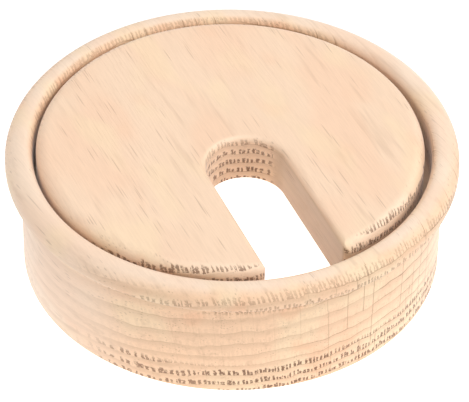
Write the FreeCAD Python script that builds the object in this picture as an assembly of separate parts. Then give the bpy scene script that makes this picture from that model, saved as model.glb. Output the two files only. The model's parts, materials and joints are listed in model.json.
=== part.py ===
import FreeCAD, Part
import math
import os

# Desk grommet turned from solid oak, in two loose pieces.
#
# The liner ring drops into a round hole in a desk top and hangs there on its flange. The lid lies
# on a ledge inside the liner, and a slot from its edge to its centre lets the cables through.
#
# All sizes are in millimetres. The origin is on the axis of the liner, in the plane of the desk
# top, which is the underside of the flange. +Z is up, and the slot opens towards -Y.

# Liner, outside
desk_hole_diameter = 80.0
hole_clearance = 0.25            # on the radius, so that the liner drops in by hand
body_depth = 22.2                # below the desk top
flange_diameter = 85.2
rim_height = 4.0                 # above the desk top
rim_outer_drop = 2.75            # height of the elliptical round on the outside of the rim
rim_inner_round = 1.8            # round between the rim's crown and the seat wall

# Liner, inside
seat_diameter = 74.8
bore_diameter = 68.0

# Lid
lid_gap = 1.0                    # all round, between the lid and the seat wall
lid_thickness = 10.0
lid_proud = 0.75                 # height of the lid's face above the rim
lid_edge_round = 2.3
slot_width = 15.2
slot_short_of_centre = 0.3       # from the round end of the slot to the lid's centre
slot_edge_round = 1.2            # on the face, and at the corners of the mouth

# Other edges, eased with sandpaper
eased_edge = 0.5

tolerance = 1e-4                 # places closer together than this count as one

body_radius = desk_hole_diameter / 2 - hole_clearance
flange_radius = flange_diameter / 2
seat_radius = seat_diameter / 2
bore_radius = bore_diameter / 2
lid_radius = seat_radius - lid_gap
lid_top = rim_height + lid_proud
ledge_height = lid_top - lid_thickness
bottom_height = -body_depth
slot_radius = slot_width / 2
slot_centre = -slot_short_of_centre - slot_radius


def point(radius, height):
    """A point of a turned profile: distance from the axis, and height."""
    return FreeCAD.Vector(radius, 0, height)


def line(start, end):
    return Part.LineSegment(start, end).toShape()


def round_over(centre, radius, start_degrees, end_degrees):
    """An arc in the profile plane, anticlockwise, with 0 degrees pointing away from the axis."""
    circle = Part.Circle(centre, FreeCAD.Vector(0, -1, 0), radius)
    circle.XAxis = FreeCAD.Vector(1, 0, 0)
    return Part.ArcOfCircle(circle, math.radians(start_degrees), math.radians(end_degrees)).toShape()


def rim_crown():
    """The quarter ellipse that falls from the crown of the rim to the flange's edge."""
    crown_radius = seat_radius + rim_inner_round
    centre = point(crown_radius, rim_height - rim_outer_drop)
    side = point(flange_radius, rim_height - rim_outer_drop)
    crown = point(crown_radius, rim_height)
    ellipse = Part.Ellipse(side, crown, centre)
    quarter = math.pi / 2
    return Part.ArcOfEllipse(ellipse, 0, quarter).toShape()


def turn(edges):
    """Closes the edges into a profile and turns it about the axis."""
    profile = Part.Wire(Part.__sortEdges__(edges))
    face = Part.Face(profile)
    return face.revolve(FreeCAD.Vector(0, 0, 0), FreeCAD.Vector(0, 0, 1), 360)


def make_liner():
    """The ring with its rounded rim, straight body and inner ledge."""
    rim_shoulder = rim_height - rim_outer_drop
    crown_radius = seat_radius + rim_inner_round
    seat_round_height = rim_height - rim_inner_round
    edges = [
        # seat for the lid, from the ledge up to the crown of the rim
        line(point(bore_radius + eased_edge, ledge_height), point(seat_radius, ledge_height)),
        line(point(seat_radius, ledge_height), point(seat_radius, seat_round_height)),
        round_over(point(crown_radius, seat_round_height), rim_inner_round, 90, 180),
        # outside of the rim, and the flange's flat underside
        rim_crown(),
        line(point(flange_radius, rim_shoulder), point(flange_radius, eased_edge)),
        round_over(point(flange_radius - eased_edge, eased_edge), eased_edge, -90, 0),
        line(point(flange_radius - eased_edge, 0), point(body_radius, 0)),
        # body, down to its lower face
        line(point(body_radius, 0), point(body_radius, bottom_height + eased_edge)),
        round_over(point(body_radius - eased_edge, bottom_height + eased_edge), eased_edge, -90, 0),
        line(point(body_radius - eased_edge, bottom_height), point(bore_radius + eased_edge, bottom_height)),
        # bore, back up to the ledge
        round_over(point(bore_radius + eased_edge, bottom_height + eased_edge), eased_edge, 180, 270),
        line(point(bore_radius, bottom_height + eased_edge), point(bore_radius, ledge_height - eased_edge)),
        round_over(point(bore_radius + eased_edge, ledge_height - eased_edge), eased_edge, 90, 180),
    ]
    return turn(edges)


def lid_disc():
    """The lid before its slot is cut and its lower edge is eased."""
    round_height = lid_top - lid_edge_round
    edges = [
        line(point(0, ledge_height), point(lid_radius, ledge_height)),
        line(point(lid_radius, ledge_height), point(lid_radius, round_height)),
        round_over(point(lid_radius - lid_edge_round, round_height), lid_edge_round, 0, 90),
        line(point(lid_radius - lid_edge_round, lid_top), point(0, lid_top)),
        line(point(0, lid_top), point(0, ledge_height)),
    ]
    return turn(edges)


def slot_cutter():
    """A slot with a round end close to the lid's centre, open towards -Y."""
    overlap = 2.0
    height = lid_thickness + 2 * overlap
    floor = ledge_height - overlap
    length = lid_radius + overlap + slot_centre
    end = Part.makeCylinder(slot_radius, height, FreeCAD.Vector(0, slot_centre, floor))
    corner = FreeCAD.Vector(-slot_radius, slot_centre - length, floor)
    channel = Part.makeBox(slot_width, length, height, corner)
    return end.fuse(channel).removeSplitter()


def on_slot_wall(place):
    """True for a point that lies on the wall of the slot."""
    off_straight = abs(abs(place.x) - slot_radius)
    off_end = abs(math.hypot(place.x, place.y - slot_centre) - slot_radius)
    return min(off_straight, off_end) < tolerance and place.y < 0


def slot_edges(lid):
    """The edges that the slot makes with the lid's upper face and, at the mouth, with its outer wall."""
    chosen = []
    for edge in lid.Edges:
        samples = edge.discretize(5)
        along_wall = all(on_slot_wall(place) for place in samples)
        at_mouth = samples[0].y < 2 * slot_centre
        upright = abs(samples[0].z - samples[-1].z) > lid_thickness / 2
        above_lower_face = samples[2].z > ledge_height + eased_edge
        if along_wall and above_lower_face and (at_mouth or not upright):
            chosen.append(edge)
    return chosen


def lower_edges(lid):
    """The closed outline of the lid's lower face."""
    return [edge for edge in lid.Edges if edge.BoundBox.ZMax < ledge_height + tolerance]


def make_lid():
    """The lid with its cable slot, all of its edges rounded."""
    lid = lid_disc().cut(slot_cutter())
    lid = lid.makeFillet(slot_edge_round, slot_edges(lid))
    return lid.makeFillet(eased_edge, lower_edges(lid))


def export(node, shape):
    solids = shape.Solids
    if len(solids) != 1 or not solids[0].isValid():
        raise ValueError(node + " is not one valid solid")
    solids[0].exportStep(os.path.join("parts", node + ".step"))
    box = solids[0].BoundBox
    print(node, "volume", round(solids[0].Volume), "z", round(box.ZMin, 3), round(box.ZMax, 3))


os.makedirs("parts", exist_ok=True)
export("liner_ring", make_liner())
export("lid", make_lid())
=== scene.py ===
import functools
import json
import math

import bmesh
import bpy
import numpy as np
from mathutils import Matrix, Vector


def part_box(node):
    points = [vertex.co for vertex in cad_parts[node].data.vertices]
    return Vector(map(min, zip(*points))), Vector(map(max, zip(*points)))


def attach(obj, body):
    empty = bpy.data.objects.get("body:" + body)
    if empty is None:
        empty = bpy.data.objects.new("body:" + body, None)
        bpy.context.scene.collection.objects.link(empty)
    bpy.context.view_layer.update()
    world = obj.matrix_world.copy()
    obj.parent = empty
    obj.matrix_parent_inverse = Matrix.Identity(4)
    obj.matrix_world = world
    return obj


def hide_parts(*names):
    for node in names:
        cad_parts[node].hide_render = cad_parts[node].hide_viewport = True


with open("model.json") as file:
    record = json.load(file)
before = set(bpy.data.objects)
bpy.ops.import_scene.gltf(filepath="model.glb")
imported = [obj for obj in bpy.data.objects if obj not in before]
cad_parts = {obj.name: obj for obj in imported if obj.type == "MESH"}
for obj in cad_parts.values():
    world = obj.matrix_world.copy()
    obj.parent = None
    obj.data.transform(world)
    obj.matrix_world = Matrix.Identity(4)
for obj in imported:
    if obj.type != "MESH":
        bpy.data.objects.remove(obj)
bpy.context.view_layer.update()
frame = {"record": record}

# A desk grommet of raw oak: a turned liner ring, and a loose lid with a slot for cables.
# Lengths are in metres, in the row's frame: the origin is on the axis, in the plane of the desk top.

MM = 0.001

# Outline of the two pieces. The outer sizes are read from the frame, and the rest repeats the CAD's.
ring_low, ring_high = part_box("liner_ring")
lid_low, lid_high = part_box("lid")
mounts = {mount["name"]: mount for mount in frame["record"]["mounts"]}

FLANGE_RADIUS = min(ring_high.x, ring_high.y)
BODY_RADIUS = mounts["desk_hole"]["dims"]["r_mm"] * MM
RIM_TOP = ring_high.z
RING_BOTTOM = ring_low.z
RIM_OUTER_DROP = 2.75 * MM
RIM_INNER_ROUND = 1.8 * MM
SEAT_RADIUS = 37.4 * MM
BORE_RADIUS = 34.0 * MM

LID_TOP = lid_high.z
LID_BOTTOM = lid_low.z
LID_RADIUS = SEAT_RADIUS - 1.0 * MM
LID_EDGE_ROUND = 2.3 * MM
SLOT_RADIUS = 7.6 * MM
SLOT_CENTRE = -SLOT_RADIUS - 0.3 * MM
SLOT_EDGE_ROUND = 1.2 * MM
# The lid has 1 mm of play all round in its seat, and lies a little to one side.
LID_REST = np.array([-0.36, 0.12]) * MM

EASED_EDGE = 0.5 * MM


# ---------------------------------------------------------------- meshes

FACE_SIZE = 0.5 * MM
RING_STEPS = 540
LID_STEPS = 500
LID_COLUMNS = 60
LID_WALL_ROWS = 18
SHARP_ANGLE = math.radians(40)
WELD_DISTANCE = 0.0001 * MM


def arc(centre, radii, start, end, steps):
    """Points of an elliptic arc in the profile plane, (distance from the axis, height) each."""
    angles = np.radians(np.linspace(start, end, steps + 1))
    return np.stack([centre[0] + radii[0] * np.cos(angles), centre[1] + radii[1] * np.sin(angles)], 1)


def filled(corners):
    """The closed outline with points added, so that no two are further apart than FACE_SIZE."""
    points = []
    for start, end in zip(corners, np.roll(corners, -1, 0)):
        steps = max(1, math.ceil(np.linalg.norm(end - start) / FACE_SIZE))
        shares = np.arange(steps)[:, None] / steps
        points.append(start + shares * (end - start))
    return np.concatenate(points)


def ring_outline():
    """The section of the liner ring, anticlockwise from the inner edge of the ledge."""
    eased = (EASED_EDGE, EASED_EDGE)
    crown = SEAT_RADIUS + RIM_INNER_ROUND
    return filled(np.concatenate([
        arc((BORE_RADIUS + EASED_EDGE, LID_BOTTOM - EASED_EDGE), eased, 90, 180, 4),
        arc((BORE_RADIUS + EASED_EDGE, RING_BOTTOM + EASED_EDGE), eased, 180, 270, 4),
        arc((BODY_RADIUS - EASED_EDGE, RING_BOTTOM + EASED_EDGE), eased, -90, 0, 4),
        [(BODY_RADIUS, 0)],
        arc((FLANGE_RADIUS - EASED_EDGE, EASED_EDGE), eased, -90, 0, 4),
        arc((crown, RIM_TOP - RIM_OUTER_DROP), (FLANGE_RADIUS - crown, RIM_OUTER_DROP), 0, 90, 16),
        arc((crown, RIM_TOP - RIM_INNER_ROUND), (RIM_INNER_ROUND, RIM_INNER_ROUND), 90, 180, 10)[1:],
        [(SEAT_RADIUS, LID_BOTTOM)],
    ]))


def grid_faces(rows, columns, first=0, flipped=False):
    """Quads of a grid of points stored row by row."""
    row, column = np.meshgrid(np.arange(rows - 1), np.arange(columns - 1), indexing="ij")
    corner = first + row * columns + column
    quads = np.stack([corner, corner + columns, corner + columns + 1, corner + 1], -1).reshape(-1, 4)
    return quads[:, ::-1] if flipped else quads


def make_piece(name, points, faces, body):
    """A smooth closed mesh that rides on the body and stands for the CAD node of the same name."""
    mesh = bpy.data.meshes.new(name)
    mesh.from_pydata(points.tolist(), [], faces.tolist())
    piece = bpy.data.objects.new(name + "_oak", mesh)
    bpy.context.scene.collection.objects.link(piece)
    clean(mesh)
    mesh.polygons.foreach_set("use_smooth", [True] * len(mesh.polygons))
    mesh.set_sharp_from_angle(angle=SHARP_ANGLE)
    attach(piece, body)
    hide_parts(name)
    return piece


def clean(mesh):
    """Welds the seams of the grids and turns every face outwards."""
    work = bmesh.new()
    work.from_mesh(mesh)
    bmesh.ops.remove_doubles(work, verts=work.verts, dist=WELD_DISTANCE)
    bmesh.ops.dissolve_degenerate(work, edges=work.edges, dist=WELD_DISTANCE)
    bmesh.ops.recalc_face_normals(work, faces=work.faces)
    work.to_mesh(mesh)
    work.free()


def make_ring():
    outline = ring_outline()
    turns = np.linspace(0, 2 * math.pi, RING_STEPS, endpoint=False)
    points = np.stack([
        np.outer(np.cos(turns), outline[:, 0]),
        np.outer(np.sin(turns), outline[:, 0]),
        np.tile(outline[:, 1], (RING_STEPS, 1)),
    ], -1)
    closed = np.concatenate([points, points[:1]])
    closed = np.concatenate([closed, closed[:, :1]], 1)
    rows, columns = closed.shape[:2]
    return make_piece("liner_ring", closed.reshape(-1, 3), grid_faces(rows, columns), "liner")


def along(path, shares):
    """Points at the given shares of the length of a path of points."""
    steps = np.linalg.norm(np.diff(path, axis=0), axis=1)
    length = np.concatenate([[0], np.cumsum(steps)])
    places = np.asarray(shares) * length[-1]
    return np.stack([np.interp(places, length, path[:, axis]) for axis in (0, 1)], 1)


def lid_outlines():
    """The lid's plan as two paths, along the slot and round the rim, that meet at the mouth's corners."""
    corner = Vector((-SLOT_RADIUS - SLOT_EDGE_ROUND, 0))
    corner.y = -math.sqrt((LID_RADIUS - SLOT_EDGE_ROUND) ** 2 - corner.x ** 2)
    outward = math.degrees(math.atan2(corner.y, corner.x))
    middle = outward / 2
    small = (SLOT_EDGE_ROUND, SLOT_EDGE_ROUND)
    wall = arc(corner, small, middle, 0, 12)
    rim = arc(corner, small, middle, outward, 12)
    end = arc((0, SLOT_CENTRE), (SLOT_RADIUS, SLOT_RADIUS), 180, 0, 96)
    mirrored = np.array([-1, 1])
    round_back = arc((0, 0), (LID_RADIUS, LID_RADIUS), outward, -540 - outward, 720)
    slot_path = np.concatenate([wall, end, wall[::-1] * mirrored])
    rim_path = np.concatenate([rim, round_back[1:-1], rim[::-1] * mirrored])
    shares = np.linspace(0, 1, LID_STEPS + 1)
    return along(slot_path, shares), along(rim_path, shares)


def round_drop(distance, radius):
    """How far a rounded edge lies below its face, at a distance from the side wall."""
    inside = np.clip(radius - distance, 0, radius)
    return radius - np.sqrt(radius ** 2 - inside ** 2)


def edge_drops(plan, rim_round, slot_round):
    """How far a face of the lid lies back at each point of its plan, for rounds on its rim and slot."""
    from_rim = LID_RADIUS - np.hypot(plan[..., 0], plan[..., 1])
    past_end = np.maximum(plan[..., 1] - SLOT_CENTRE, 0)
    from_slot = np.hypot(plan[..., 0], past_end) - SLOT_RADIUS
    # at the corners of the mouth both walls run into an upright round, and one edge turns into the other
    near_rim = np.clip(SLOT_EDGE_ROUND - from_rim, 0, None)
    near_slot = np.clip(SLOT_EDGE_ROUND - from_slot, 0, None)
    near_both = np.hypot(near_rim, near_slot)
    share = (near_rim / np.maximum(near_both, 1e-9)) ** 2
    corner_drop = round_drop(SLOT_EDGE_ROUND - near_both, slot_round + share * (rim_round - slot_round))
    return np.maximum(corner_drop, round_drop(from_rim, rim_round))


def across_lid(width):
    """Shares of the way from the slot to the rim, closer together on the two rounded edges."""
    quarter = np.linspace(0, math.pi / 2, 9)
    slot_band = min(SLOT_EDGE_ROUND, width / 4) * (1 - np.cos(quarter))
    rim_band = width - min(LID_EDGE_ROUND, width / 2) * (1 - np.cos(quarter[::-1]))
    middle = np.linspace(slot_band[-1], rim_band[0], LID_COLUMNS)[1:-1]
    return np.concatenate([slot_band, middle, rim_band]) / width


def make_lid():
    slot_path, rim_path = lid_outlines()
    widths = np.maximum(np.linalg.norm(rim_path - slot_path, axis=1), 1e-6)
    shares = np.stack([across_lid(width) for width in widths])
    plan = slot_path[:, None] + shares[..., None] * (rim_path - slot_path)[:, None]
    top_height = LID_TOP - edge_drops(plan, LID_EDGE_ROUND, SLOT_EDGE_ROUND)
    base_height = LID_BOTTOM + edge_drops(plan, EASED_EDGE, EASED_EDGE)
    top = np.dstack([plan + LID_REST, top_height])
    base = np.dstack([plan + LID_REST, base_height])
    down = np.linspace(0, 1, LID_WALL_ROWS)[None, :, None]
    slot_wall = top[:, :1] + down * (base[:, :1] - top[:, :1])
    rim_wall = top[:, -1:] + down * (base[:, -1:] - top[:, -1:])
    points, faces, count = [], [], 0
    for grid, flipped in ((top, False), (base, True), (slot_wall, True), (rim_wall, False)):
        faces.append(grid_faces(grid.shape[0], grid.shape[1], count, flipped))
        points.append(grid.reshape(-1, 3))
        count += len(points[-1])
    return make_piece("lid", np.concatenate(points), np.concatenate(faces), "lid")


# ---------------------------------------------------------------- material graph

class Graph:
    """Adds nodes to a material, one call each. Most calls return the node's output socket."""

    def __init__(self, name):
        self.material = bpy.data.materials.new(name)
        self.material.use_nodes = True
        self.tree = self.material.node_tree
        self.tree.nodes.clear()

    def node(self, kind, inputs, **settings):
        made = self.tree.nodes.new(kind)
        for key, value in settings.items():
            setattr(made, key, value)
        for key, value in inputs.items():
            if isinstance(value, bpy.types.NodeSocket):
                self.tree.links.new(value, made.inputs[key])
            else:
                made.inputs[key].default_value = value
        return made

    def math(self, operation, *values):
        return self.node("ShaderNodeMath", dict(enumerate(values)), operation=operation).outputs[0]

    def product(self, *values):
        """All the values multiplied together."""
        return functools.reduce(lambda first, second: self.math("MULTIPLY", first, second), values)

    def vector(self, operation, *values):
        return self.node("ShaderNodeVectorMath", dict(enumerate(values)), operation=operation).outputs[0]

    def vector_length(self, value):
        return self.node("ShaderNodeVectorMath", {0: value}, operation="LENGTH").outputs["Value"]

    def parts(self, vector):
        """The three parts of a vector, as sockets."""
        return self.node("ShaderNodeSeparateXYZ", {"Vector": vector}).outputs

    def shares(self, colour):
        """The three channels of a random colour, as sockets."""
        return self.node("ShaderNodeSeparateColor", {"Color": colour}).outputs

    def rotated(self, vector, angles):
        inputs = {"Vector": vector, "Rotation": angles}
        return self.node("ShaderNodeVectorRotate", inputs, rotation_type="EULER_XYZ").outputs[0]

    def noise(self, place, detail, roughness=0.5):
        inputs = {"Vector": place, "Scale": 1.0, "Detail": detail, "Roughness": roughness}
        return self.node("ShaderNodeTexNoise", inputs).outputs["Fac"]

    def cells(self, place, dimensions="3D", **settings):
        """Random cells about 1 wide. The outputs hold each cell's own Color, the Position of its middle
        and the Distance to it."""
        inputs = {"Vector": place, "Scale": 1.0, **settings}
        return self.node("ShaderNodeTexVoronoi", inputs, voronoi_dimensions=dimensions).outputs

    def step(self, value, low, high, start=0.0, end=1.0):
        """A smooth step from start to end, as the value goes from low to high."""
        inputs = {"Value": value, "From Min": low, "From Max": high, "To Min": start, "To Max": end}
        return self.node("ShaderNodeMapRange", inputs, interpolation_type="SMOOTHSTEP").outputs[0]

    def mix(self, share, first, second, blend="MIX"):
        made = self.node("ShaderNodeMix", {}, data_type="RGBA", blend_type=blend)
        for socket, value in ((made.inputs[0], share), (made.inputs[6], first), (made.inputs[7], second)):
            if isinstance(value, bpy.types.NodeSocket):
                self.tree.links.new(value, socket)
            else:
                socket.default_value = value
        return made.outputs[2]


# ---------------------------------------------------------------- oak

STRAW = (0.82, 0.62, 0.41, 1)
BLUSH = (0.80, 0.47, 0.29, 1)
DARK = (0.36, 0.21, 0.12, 1)
# painted shade for the upright walls of the lid's slot
SLOT_SHADE = (0.50, 0.37, 0.255, 1)
PORE = (0.13, 0.055, 0.025, 1)

# Sizes in the wood, in millimetres.
TICK_SPACING = 0.78
TICK_LENGTH = 5.0
RAY_SPACING = 3.4
LAYER_BLUR = 0.8
RELIEF_DEPTH = 0.12

# How far the patterns of two growth rings lie apart at most, in ticks.
RING_SHIFT = 90


class Oak(Graph):
    """Solid oak in millimetres, so that every cut through it shows its own figure.

    The grain runs along Y after a turn about Z. It dives below the horizontal and leans sideways by
    a few degrees. The seed shifts all the random patterns. Sizes of patterns are given across the
    grain, along it and through the growth rings.
    """

    def __init__(self, name, turn, dive, lean, seed):
        super().__init__(name)
        self.seed = seed
        here = self.node("ShaderNodeTexCoord", {}).outputs
        angles = (math.radians(dive), math.radians(lean), -math.radians(turn))
        millimetres = self.vector("MULTIPLY", here["Object"], (1 / MM, 1 / MM, 1 / MM))
        turned = self.rotated(millimetres, angles)
        self.place = self.vector("ADD", turned, seed)
        self.across, self.along, self.height = self.parts(turned)
        facing = self.parts(self.rotated(here["Normal"], angles))
        self.level = self.math("ABSOLUTE", facing[2])
        self.end_grain = self.step(self.math("ABSOLUTE", facing[1]), 0.15, 0.65)

    def by_cut(self, long_grain, end_grain):
        """A number that goes from one value on long grain to another on end grain."""
        return self.step(self.end_grain, 0.0, 1.0, long_grain, end_grain)

    def grain_noise(self, size, detail, roughness=0.5, shift=(0, 0, 0)):
        """A noise with features of the given size, from 0 to 1."""
        place = self.vector("DIVIDE", self.vector("ADD", self.place, shift), size)
        return self.noise(place, detail, roughness)

    def swing(self, size, detail, width):
        """A slow swing to both sides of zero, at most width from end to end."""
        return self.product(self.math("SUBTRACT", self.grain_noise(size, detail), 0.5), width)

    def grow(self, pith, ring_width, narrowing, first_ring, crowding):
        """Lays the growth rings round the pith, bent slowly along the tree.

        pith is the place of the tree's centre, across the grain and above the origin. One ring of
        thickness ring_width starts at the height first_ring, and the rings get narrower towards
        the pith. crowding is how much closer together the rings above first_ring lie, as a share.
        """
        aside = self.math("SUBTRACT", self.across, pith[0])
        above = self.math("SUBTRACT", self.height, pith[1])
        squares = self.math("ADD", self.product(aside, aside), self.product(above, above))
        self.distance = self.math("SQRT", squares)
        self.angle = self.product(self.math("ARCTAN2", aside, above), abs(pith[1]))
        bends = self.math("ADD", self.swing((34, 150, 34), 1.0, 4.0), self.swing((5, 30, 5), 2.0, 2.0))
        outwards = self.math("SUBTRACT", self.distance, math.hypot(*pith) + first_ring)
        outwards = self.math("ADD", outwards, bends)
        crowded = self.product(self.math("MAXIMUM", outwards, 0.0), crowding)
        outwards = self.math("ADD", outwards, crowded)
        density = self.math("SUBTRACT", 1 / ring_width, self.product(outwards, narrowing))
        rings = self.product(outwards, density)
        self.ring = self.math("FLOOR", rings)
        self.phase = self.math("SUBTRACT", rings, self.ring)

    def tick_place(self):
        """The place among the ticks, along the ring and along the grain. Each ring has its own shift."""
        white_noise = self.node("ShaderNodeTexWhiteNoise", {"W": self.ring}, noise_dimensions="1D")
        shifts = self.shares(white_noise.outputs["Color"])
        sideways = self.math("DIVIDE", self.angle, TICK_SPACING)
        lengthways = self.math("DIVIDE", self.along, TICK_LENGTH)
        return self.node("ShaderNodeCombineXYZ", {
            0: self.math("ADD", sideways, self.product(shifts[0], RING_SHIFT)),
            1: self.math("ADD", lengthways, self.product(shifts[1], RING_SHIFT)),
        }).outputs[0]

    def large_pores(self, sparse):
        """Pores in the first wood of a ring: a row of upright ticks on end grain, lines on long grain.

        sparse lists layers, as (bottom, top, share left), that have few of them.
        """
        place = self.tick_place()
        ticks = self.cells(place, "2D", Randomness=0.65)
        random = self.shares(ticks["Color"])
        off_middle = self.math("SUBTRACT", self.parts(place)[0], self.parts(ticks["Position"])[0])
        ragged = self.step(self.grain_noise((0.30, 3.0, 0.45), 1.0), 0.30, 0.70, 0.55, 1.35)
        width = self.product(ragged, self.step(random[1], 0, 1, 0.24, 0.40), self.by_cut(0.45, 1.0))
        aside = self.math("DIVIDE", self.math("ABSOLUTE", off_middle), width)
        tick = self.step(aside, 0.75, 1.15, 1.0, 0.0)
        top = self.math("ADD", 0.34, self.product(random[0], 0.28))
        below_top = self.step(self.math("DIVIDE", self.phase, top), 0.85, 1.1, 1.0, 0.0)
        fewest = self.by_cut(0.10, 0.85)
        patchy = self.step(self.grain_noise((14, 60, 14), 1.0), 0.38, 0.58, fewest, 1.0)
        crumbs = self.grain_noise((0.38, 3.0, 0.34), 1.0, shift=(9, 9, 9))
        crumbs = self.step(crumbs, 0.36, 0.46, 0.40, 1.0)
        pores = self.product(tick, below_top, self.step(self.phase, 0.0, 0.06), patchy, crumbs)
        for bottom, ceiling, left in sparse:
            off_layer = self.math("ABSOLUTE", self.math("SUBTRACT", self.height, (bottom + ceiling) / 2))
            beyond = self.math("SUBTRACT", off_layer, (ceiling - bottom) / 2)
            pores = self.product(pores, self.step(beyond, -LAYER_BLUR, LAYER_BLUR, left, 1.0))
        return pores

    def small_pores(self):
        """Fine pores all through the ring, in clusters."""
        dots = self.cells(self.vector("DIVIDE", self.place, (0.42, 15.0, 0.42)))
        dot = self.step(dots["Distance"], 0.16, 0.36, 1.0, 0.0)
        chosen = self.step(self.shares(dots["Color"])[0], 0.45, 0.65)
        cluster = self.step(self.grain_noise((3.5, 34, 3.5), 1.0), 0.46, 0.60, 0.05, 1.0)
        return self.product(dot, chosen, cluster)

    def clean_cut(self):
        """The tool cut the wood more cleanly on the right, where thin lines show best."""
        return self.step(self.across, -16, 6, 0.45, 1.0)

    def cut_across(self):
        """1 on upright faces, and next to nothing on level ones, which cut the rings at a low angle."""
        return self.step(self.level, 0.3, 0.8, 1.0, 0.08)

    def ring_lines(self):
        """The thin dark line at the start of each ring."""
        start = self.step(self.phase, 0.02, 0.07, 1.0, 0.0)
        line = self.math("MAXIMUM", start, self.step(self.phase, 0.96, 1.0))
        strength = self.step(self.grain_noise((14, 70, 14), 2.0), 0.38, 0.58, 0.35, 1.0)
        return self.product(line, self.cut_across(), strength, self.clean_cut())

    def late_wood(self):
        """The slow darkening of a ring up to its end."""
        late = self.product(self.step(self.phase, 0.35, 0.95), self.step(self.phase, 0.96, 1.0, 1.0, 0.0))
        return self.product(late, self.step(self.cut_across(), 0.0, 1.0, 0.25, 1.0))

    def rays(self):
        """Thin sheets that run out from the pith, along the grain."""
        place = self.node("ShaderNodeCombineXYZ", {0: self.angle, 1: self.along, 2: self.distance})
        place = self.vector("ADD", place.outputs[0], self.seed)
        sheets = self.cells(self.vector("DIVIDE", place, (RAY_SPACING, 30, 14)))
        here = self.math("DIVIDE", self.math("ADD", self.angle, self.seed[0]), RAY_SPACING)
        off_middle = self.math("SUBTRACT", here, self.parts(sheets["Position"])[0])
        sheet = self.step(self.math("ABSOLUTE", off_middle), 0.014, 0.034, 1.0, 0.0)
        chosen = self.step(self.shares(sheets["Color"])[0], 0.25, 0.50)
        return self.product(sheet, chosen, self.math("POWER", self.clean_cut(), 2.5))

    def wood_colour(self, pale, pink, cut_end):
        """The colour between the pores: pale and pink patches, and a third colour on end grain."""
        patch = self.step(self.grain_noise((12, 26, 12), 1.0), 0.42, 0.62)
        colour = self.mix(self.end_grain, self.mix(patch, pale, pink), cut_end)
        straw = self.step(self.grain_noise((9, 20, 9), 1.0, shift=(37, 11, 5)), 0.50, 0.66)
        colour = self.mix(self.product(straw, self.by_cut(0.55, 0.75)), colour, STRAW)
        blush = self.step(self.grain_noise((7, 12, 7), 1.0, shift=(5, 51, 23)), 0.60, 0.74)
        colour = self.mix(self.product(blush, self.by_cut(0.15, 0.50)), colour, BLUSH)
        colour = self.mix(self.product(self.late_wood(), self.by_cut(0.12, 0.25)), colour, DARK)
        streak = self.grain_noise((1.6, 20.0, 1.6), 2.0, 0.6)
        return self.mix(self.step(streak, 0.54, 0.76, 0.0, 0.19), colour, DARK)

    def slot_wall_shade(self, half_width, strength):
        """How much painted shade darkens the upright faces, up to half_width to either side of the
        middle, where the walls of the slot lie in shade.
        """
        upright = self.step(self.level, 0.1, 0.5, strength, 0.0)
        aside = self.math("ABSOLUTE", self.across)
        near = self.step(aside, half_width, half_width + 1.5, 1.0, 0.0)
        return self.product(upright, near, self.by_cut(1.0, 0.2))

    def finish(self, colour, large, tiny, lines, rays):
        """Draws pores, ring lines and rays into the colour, and sinks them a little into the surface."""
        fibre = self.grain_noise((0.25, 6.0, 0.25), 2.0, 0.6)
        tone = self.step(fibre, 0.3, 0.7, 0.965, 1.02)
        shade = self.node("ShaderNodeCombineColor", {0: tone, 1: tone, 2: tone}).outputs[0]
        colour = self.mix(1.0, colour, shade, "MULTIPLY")
        colour = self.mix(self.product(lines, self.by_cut(0.15, 0.95)), colour, DARK)
        colour = self.mix(self.product(rays, self.by_cut(0.08, 0.75)), colour, DARK)
        colour = self.mix(self.product(tiny, self.by_cut(0.26, 0.30)), colour, PORE)
        colour = self.mix(self.product(large, self.by_cut(0.06, 0.85)), colour, PORE)
        relief = self.product(fibre, 0.15)
        relief = self.math("SUBTRACT", relief, self.product(large, self.by_cut(0.3, 1.0)))
        relief = self.math("SUBTRACT", relief, self.product(tiny, 0.15))
        relief = self.math("SUBTRACT", relief, self.product(self.math("MAXIMUM", rays, lines), 0.3))
        depth = {"Strength": 0.6, "Distance": RELIEF_DEPTH * MM}
        bump = self.node("ShaderNodeBump", {"Height": relief, **depth}).outputs[0]
        rough = self.math("ADD", 0.58, self.product(large, 0.25))
        look = {"Base Color": colour, "Roughness": rough, "Normal": bump}
        look.update({"Specular IOR Level": 0.45, "Sheen Weight": 0.35, "Sheen Roughness": 0.35})
        principled = self.node("ShaderNodeBsdfPrincipled", look)
        self.node("ShaderNodeOutputMaterial", {"Surface": principled.outputs[0]})
        return self.material


def ring_oak():
    """The liner's wood: wide rings with large pores at its foot and rim, and rays that show."""
    wood = Oak("oak_ring", turn=9, dive=1.5, lean=0.2, seed=(3, 40, 11))
    wood.grow(pith=(4, -300), ring_width=3.7, narrowing=0.0055, first_ring=-1.0, crowding=0.8)
    colour = wood.wood_colour(
        pale=(0.80, 0.62, 0.475, 1), pink=(0.80, 0.59, 0.44, 1), cut_end=(0.82, 0.555, 0.365, 1))
    large = wood.large_pores(sparse=((-17.0, -3.6, 0.08), (-2.4, 1.2, 0.55), (1.2, 9, 0.32)))
    return wood.finish(colour, large, wood.small_pores(), wood.ring_lines(), rays=wood.rays())


def lid_oak():
    """The lid's wood: narrow rings without rays, and painted shade on the upright walls of its slot."""
    wood = Oak("oak_lid", turn=2, dive=2.2, lean=-0.4, seed=(80, 0, 7))
    wood.grow(pith=(0, -350), ring_width=2.3, narrowing=0.0, first_ring=3.2, crowding=0.0)
    colour = wood.wood_colour(
        pale=(0.80, 0.585, 0.42, 1), pink=(0.80, 0.555, 0.39, 1), cut_end=(0.90, 0.67, 0.49, 1))
    # painted shade: the upright walls of the slot are darkened towards a grey brown
    colour = wood.mix(wood.slot_wall_shade(half_width=9.5, strength=0.6), colour, SLOT_SHADE)
    large = wood.large_pores(sparse=((3.2, 5.6, 0.45),))
    return wood.finish(colour, large, wood.small_pores(), wood.ring_lines(), rays=0.0)


# ---------------------------------------------------------------- camera, floor and light

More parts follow.
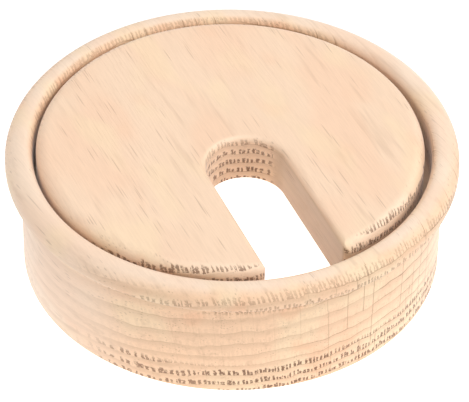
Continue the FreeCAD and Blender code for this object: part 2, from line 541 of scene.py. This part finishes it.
CAMERA_AZIMUTH = math.radians(-23.19)
CAMERA_ELEVATION = math.radians(40.25)
CAMERA_DISTANCE = 0.581
CAMERA_LENS = 237.5
# The lens points a little below the origin and leans a little, as a hand-held one does.
AIM_BELOW = math.radians(0.793)
AIM_RIGHT = math.radians(0.054)
CAMERA_LEAN = math.radians(0.865)


def direction(azimuth, elevation):
    """The unit vector towards a place seen at that azimuth and elevation. Azimuth 0 is towards -Y."""
    flat = math.cos(elevation)
    return Vector((math.sin(azimuth) * flat, -math.cos(azimuth) * flat, math.sin(elevation)))


def make_camera():
    data = bpy.data.cameras.new("camera")
    data.lens = CAMERA_LENS
    data.sensor_width = 36.0
    data.clip_end = 10.0
    camera = bpy.data.objects.new("camera", data)
    bpy.context.scene.collection.objects.link(camera)
    back = direction(CAMERA_AZIMUTH, CAMERA_ELEVATION)
    aim = (-back).to_track_quat("-Z", "Y").to_matrix()
    turn = Matrix.Rotation(CAMERA_LEAN, 3, "Z")
    tilt = Matrix.Rotation(-AIM_BELOW, 3, "X")
    pan = Matrix.Rotation(-AIM_RIGHT, 3, "Y")
    camera.matrix_world = Matrix.Translation(back * CAMERA_DISTANCE) @ (aim @ pan @ tilt @ turn).to_4x4()
    bpy.context.scene.camera = camera


FLOOR_SIZE = 3.0
GLOW_START = 42 * MM
GLOW_END = 78 * MM


def make_floor():
    """A pale floor that glows a little, like a light table, so that it stays white under the object."""
    directions = ((-1, -1), (1, -1), (1, 1), (-1, 1))
    corners = [(x * FLOOR_SIZE, y * FLOOR_SIZE, RING_BOTTOM) for x, y in directions]
    mesh = bpy.data.meshes.new("floor")
    mesh.from_pydata(corners, [], [(0, 1, 2, 3)])
    floor = bpy.data.objects.new("floor", mesh)
    bpy.context.scene.collection.objects.link(floor)
    g = Graph("pale_floor")
    off_middle = g.vector_length(g.node("ShaderNodeTexCoord", {}).outputs["Object"])
    glow = g.step(off_middle, GLOW_START, GLOW_END, 0.95, 0.20)
    look = {"Base Color": (0.8, 0.8, 0.8, 1), "Roughness": 0.9}
    look.update({"Emission Color": (1, 1, 1, 1), "Emission Strength": glow})
    principled = g.node("ShaderNodeBsdfPrincipled", look)
    g.node("ShaderNodeOutputMaterial", {"Surface": principled.outputs[0]})
    mesh.materials.append(g.material)


LIGHT_DISTANCE = 1.2
LIGHT_SIZE = 0.7


def make_light(name, azimuth, elevation, power):
    data = bpy.data.lights.new(name, "AREA")
    data.shape = "SQUARE"
    data.size = LIGHT_SIZE
    data.energy = power
    light = bpy.data.objects.new(name, data)
    bpy.context.scene.collection.objects.link(light)
    place = direction(math.radians(azimuth), math.radians(elevation))
    towards_object = place.to_track_quat("Z", "Y").to_matrix().to_4x4()
    light.matrix_world = Matrix.Translation(place * LIGHT_DISTANCE) @ towards_object


def make_studio():
    world = bpy.data.worlds.new("studio")
    world.use_nodes = True
    background = world.node_tree.nodes["Background"]
    background.inputs["Color"].default_value = (1.0, 1.0, 1.0, 1)
    background.inputs["Strength"].default_value = 0.73
    bpy.context.scene.world = world
    bpy.context.scene.view_settings.view_transform = "Standard"
    make_light("key", azimuth=60, elevation=35, power=5.8)
    make_light("top", azimuth=0, elevation=88, power=4.2)
    make_light("front", azimuth=-23, elevation=45, power=0.9)


ring = make_ring()
lid = make_lid()
ring.data.materials.append(ring_oak())
lid.data.materials.append(lid_oak())
make_camera()
make_floor()
make_studio()
